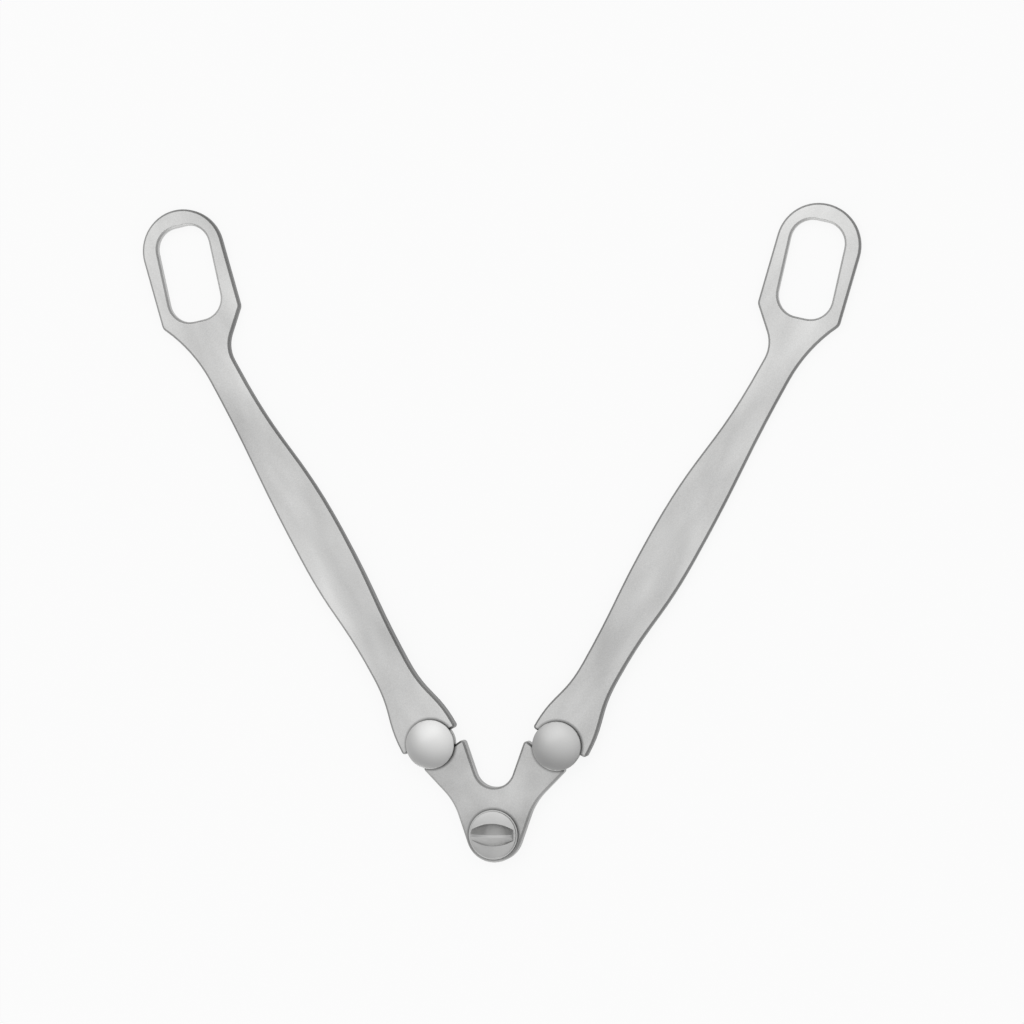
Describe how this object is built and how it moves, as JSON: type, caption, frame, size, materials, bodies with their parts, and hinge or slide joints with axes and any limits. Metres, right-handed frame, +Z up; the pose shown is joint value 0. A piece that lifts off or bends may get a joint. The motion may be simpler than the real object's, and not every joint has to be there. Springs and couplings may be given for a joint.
{
  "type": "surgical retractor frame",
  "caption": "Hinged surgical retractor frame: flat arms with window loops pivot under domed caps on a notched centre plate, and a finned thumb screw clamps a blade on its round lobe.",
  "frame": {"origin": "on the thumb screw's axis, at the plane of the flat underside", "axes": "+Z up out of the flat underside, towards the caps and the thumb screw's head; +Y in the plane of symmetry from the thumb screw towards the arms; +X to the right arm"},
  "size_m": [0.2908, 0.261, 0.0143],
  "materials": {
    "satin_frame": "satin",
    "polished_cap": "fine satin, brighter than the frame",
    "turned_screw": "turned and polished",
    "spring_steel": "bright"
  },
  "bodies": {
    "centre": {"centre_plate": "satin_frame", "left_hinge_cap": "polished_cap", "right_hinge_cap": "polished_cap", "left_hinge_screw": "turned_screw", "right_hinge_screw": "turned_screw", "left_thrust_washer": "spring_steel", "right_thrust_washer": "spring_steel", "left_spring_washer": "spring_steel", "right_spring_washer": "spring_steel"},
    "left_arm": {"left_arm": "satin_frame"},
    "right_arm": {"right_arm": "satin_frame"},
    "clamp": {"clamp_washer": "turned_screw"},
    "thumb": {"thumb_screw": "turned_screw", "screw_stop_ring": "turned_screw"}
  },
  "joints": [
    {"name": "left_hinge", "type": "hinge", "parent": "centre", "child": "left_arm", "pos_m": [-0.0256, 0.0356, 0.003], "axis": [0, 0, 1], "range_deg": [-29, 50]},
    {"name": "right_hinge", "type": "hinge", "parent": "centre", "child": "right_arm", "pos_m": [0.0256, 0.0356, 0.003], "axis": [0, 0, 1], "range_deg": [-50, 29]},
    {"name": "clamp_lift", "type": "slide", "parent": "centre", "child": "clamp", "axis": [0, 0, 1], "range_m": [0, 0.0022]},
    {"name": "thumb_turn", "type": "hinge", "parent": "clamp", "child": "thumb", "pos_m": [0, 0, 0.008], "axis": [0, 0, 1], "range_deg": [0, 630]}
  ],
  "couplings": [
    {"joint": "clamp_lift", "follows": "thumb_turn", "m_per_rad": 0.00019894}
  ]
}
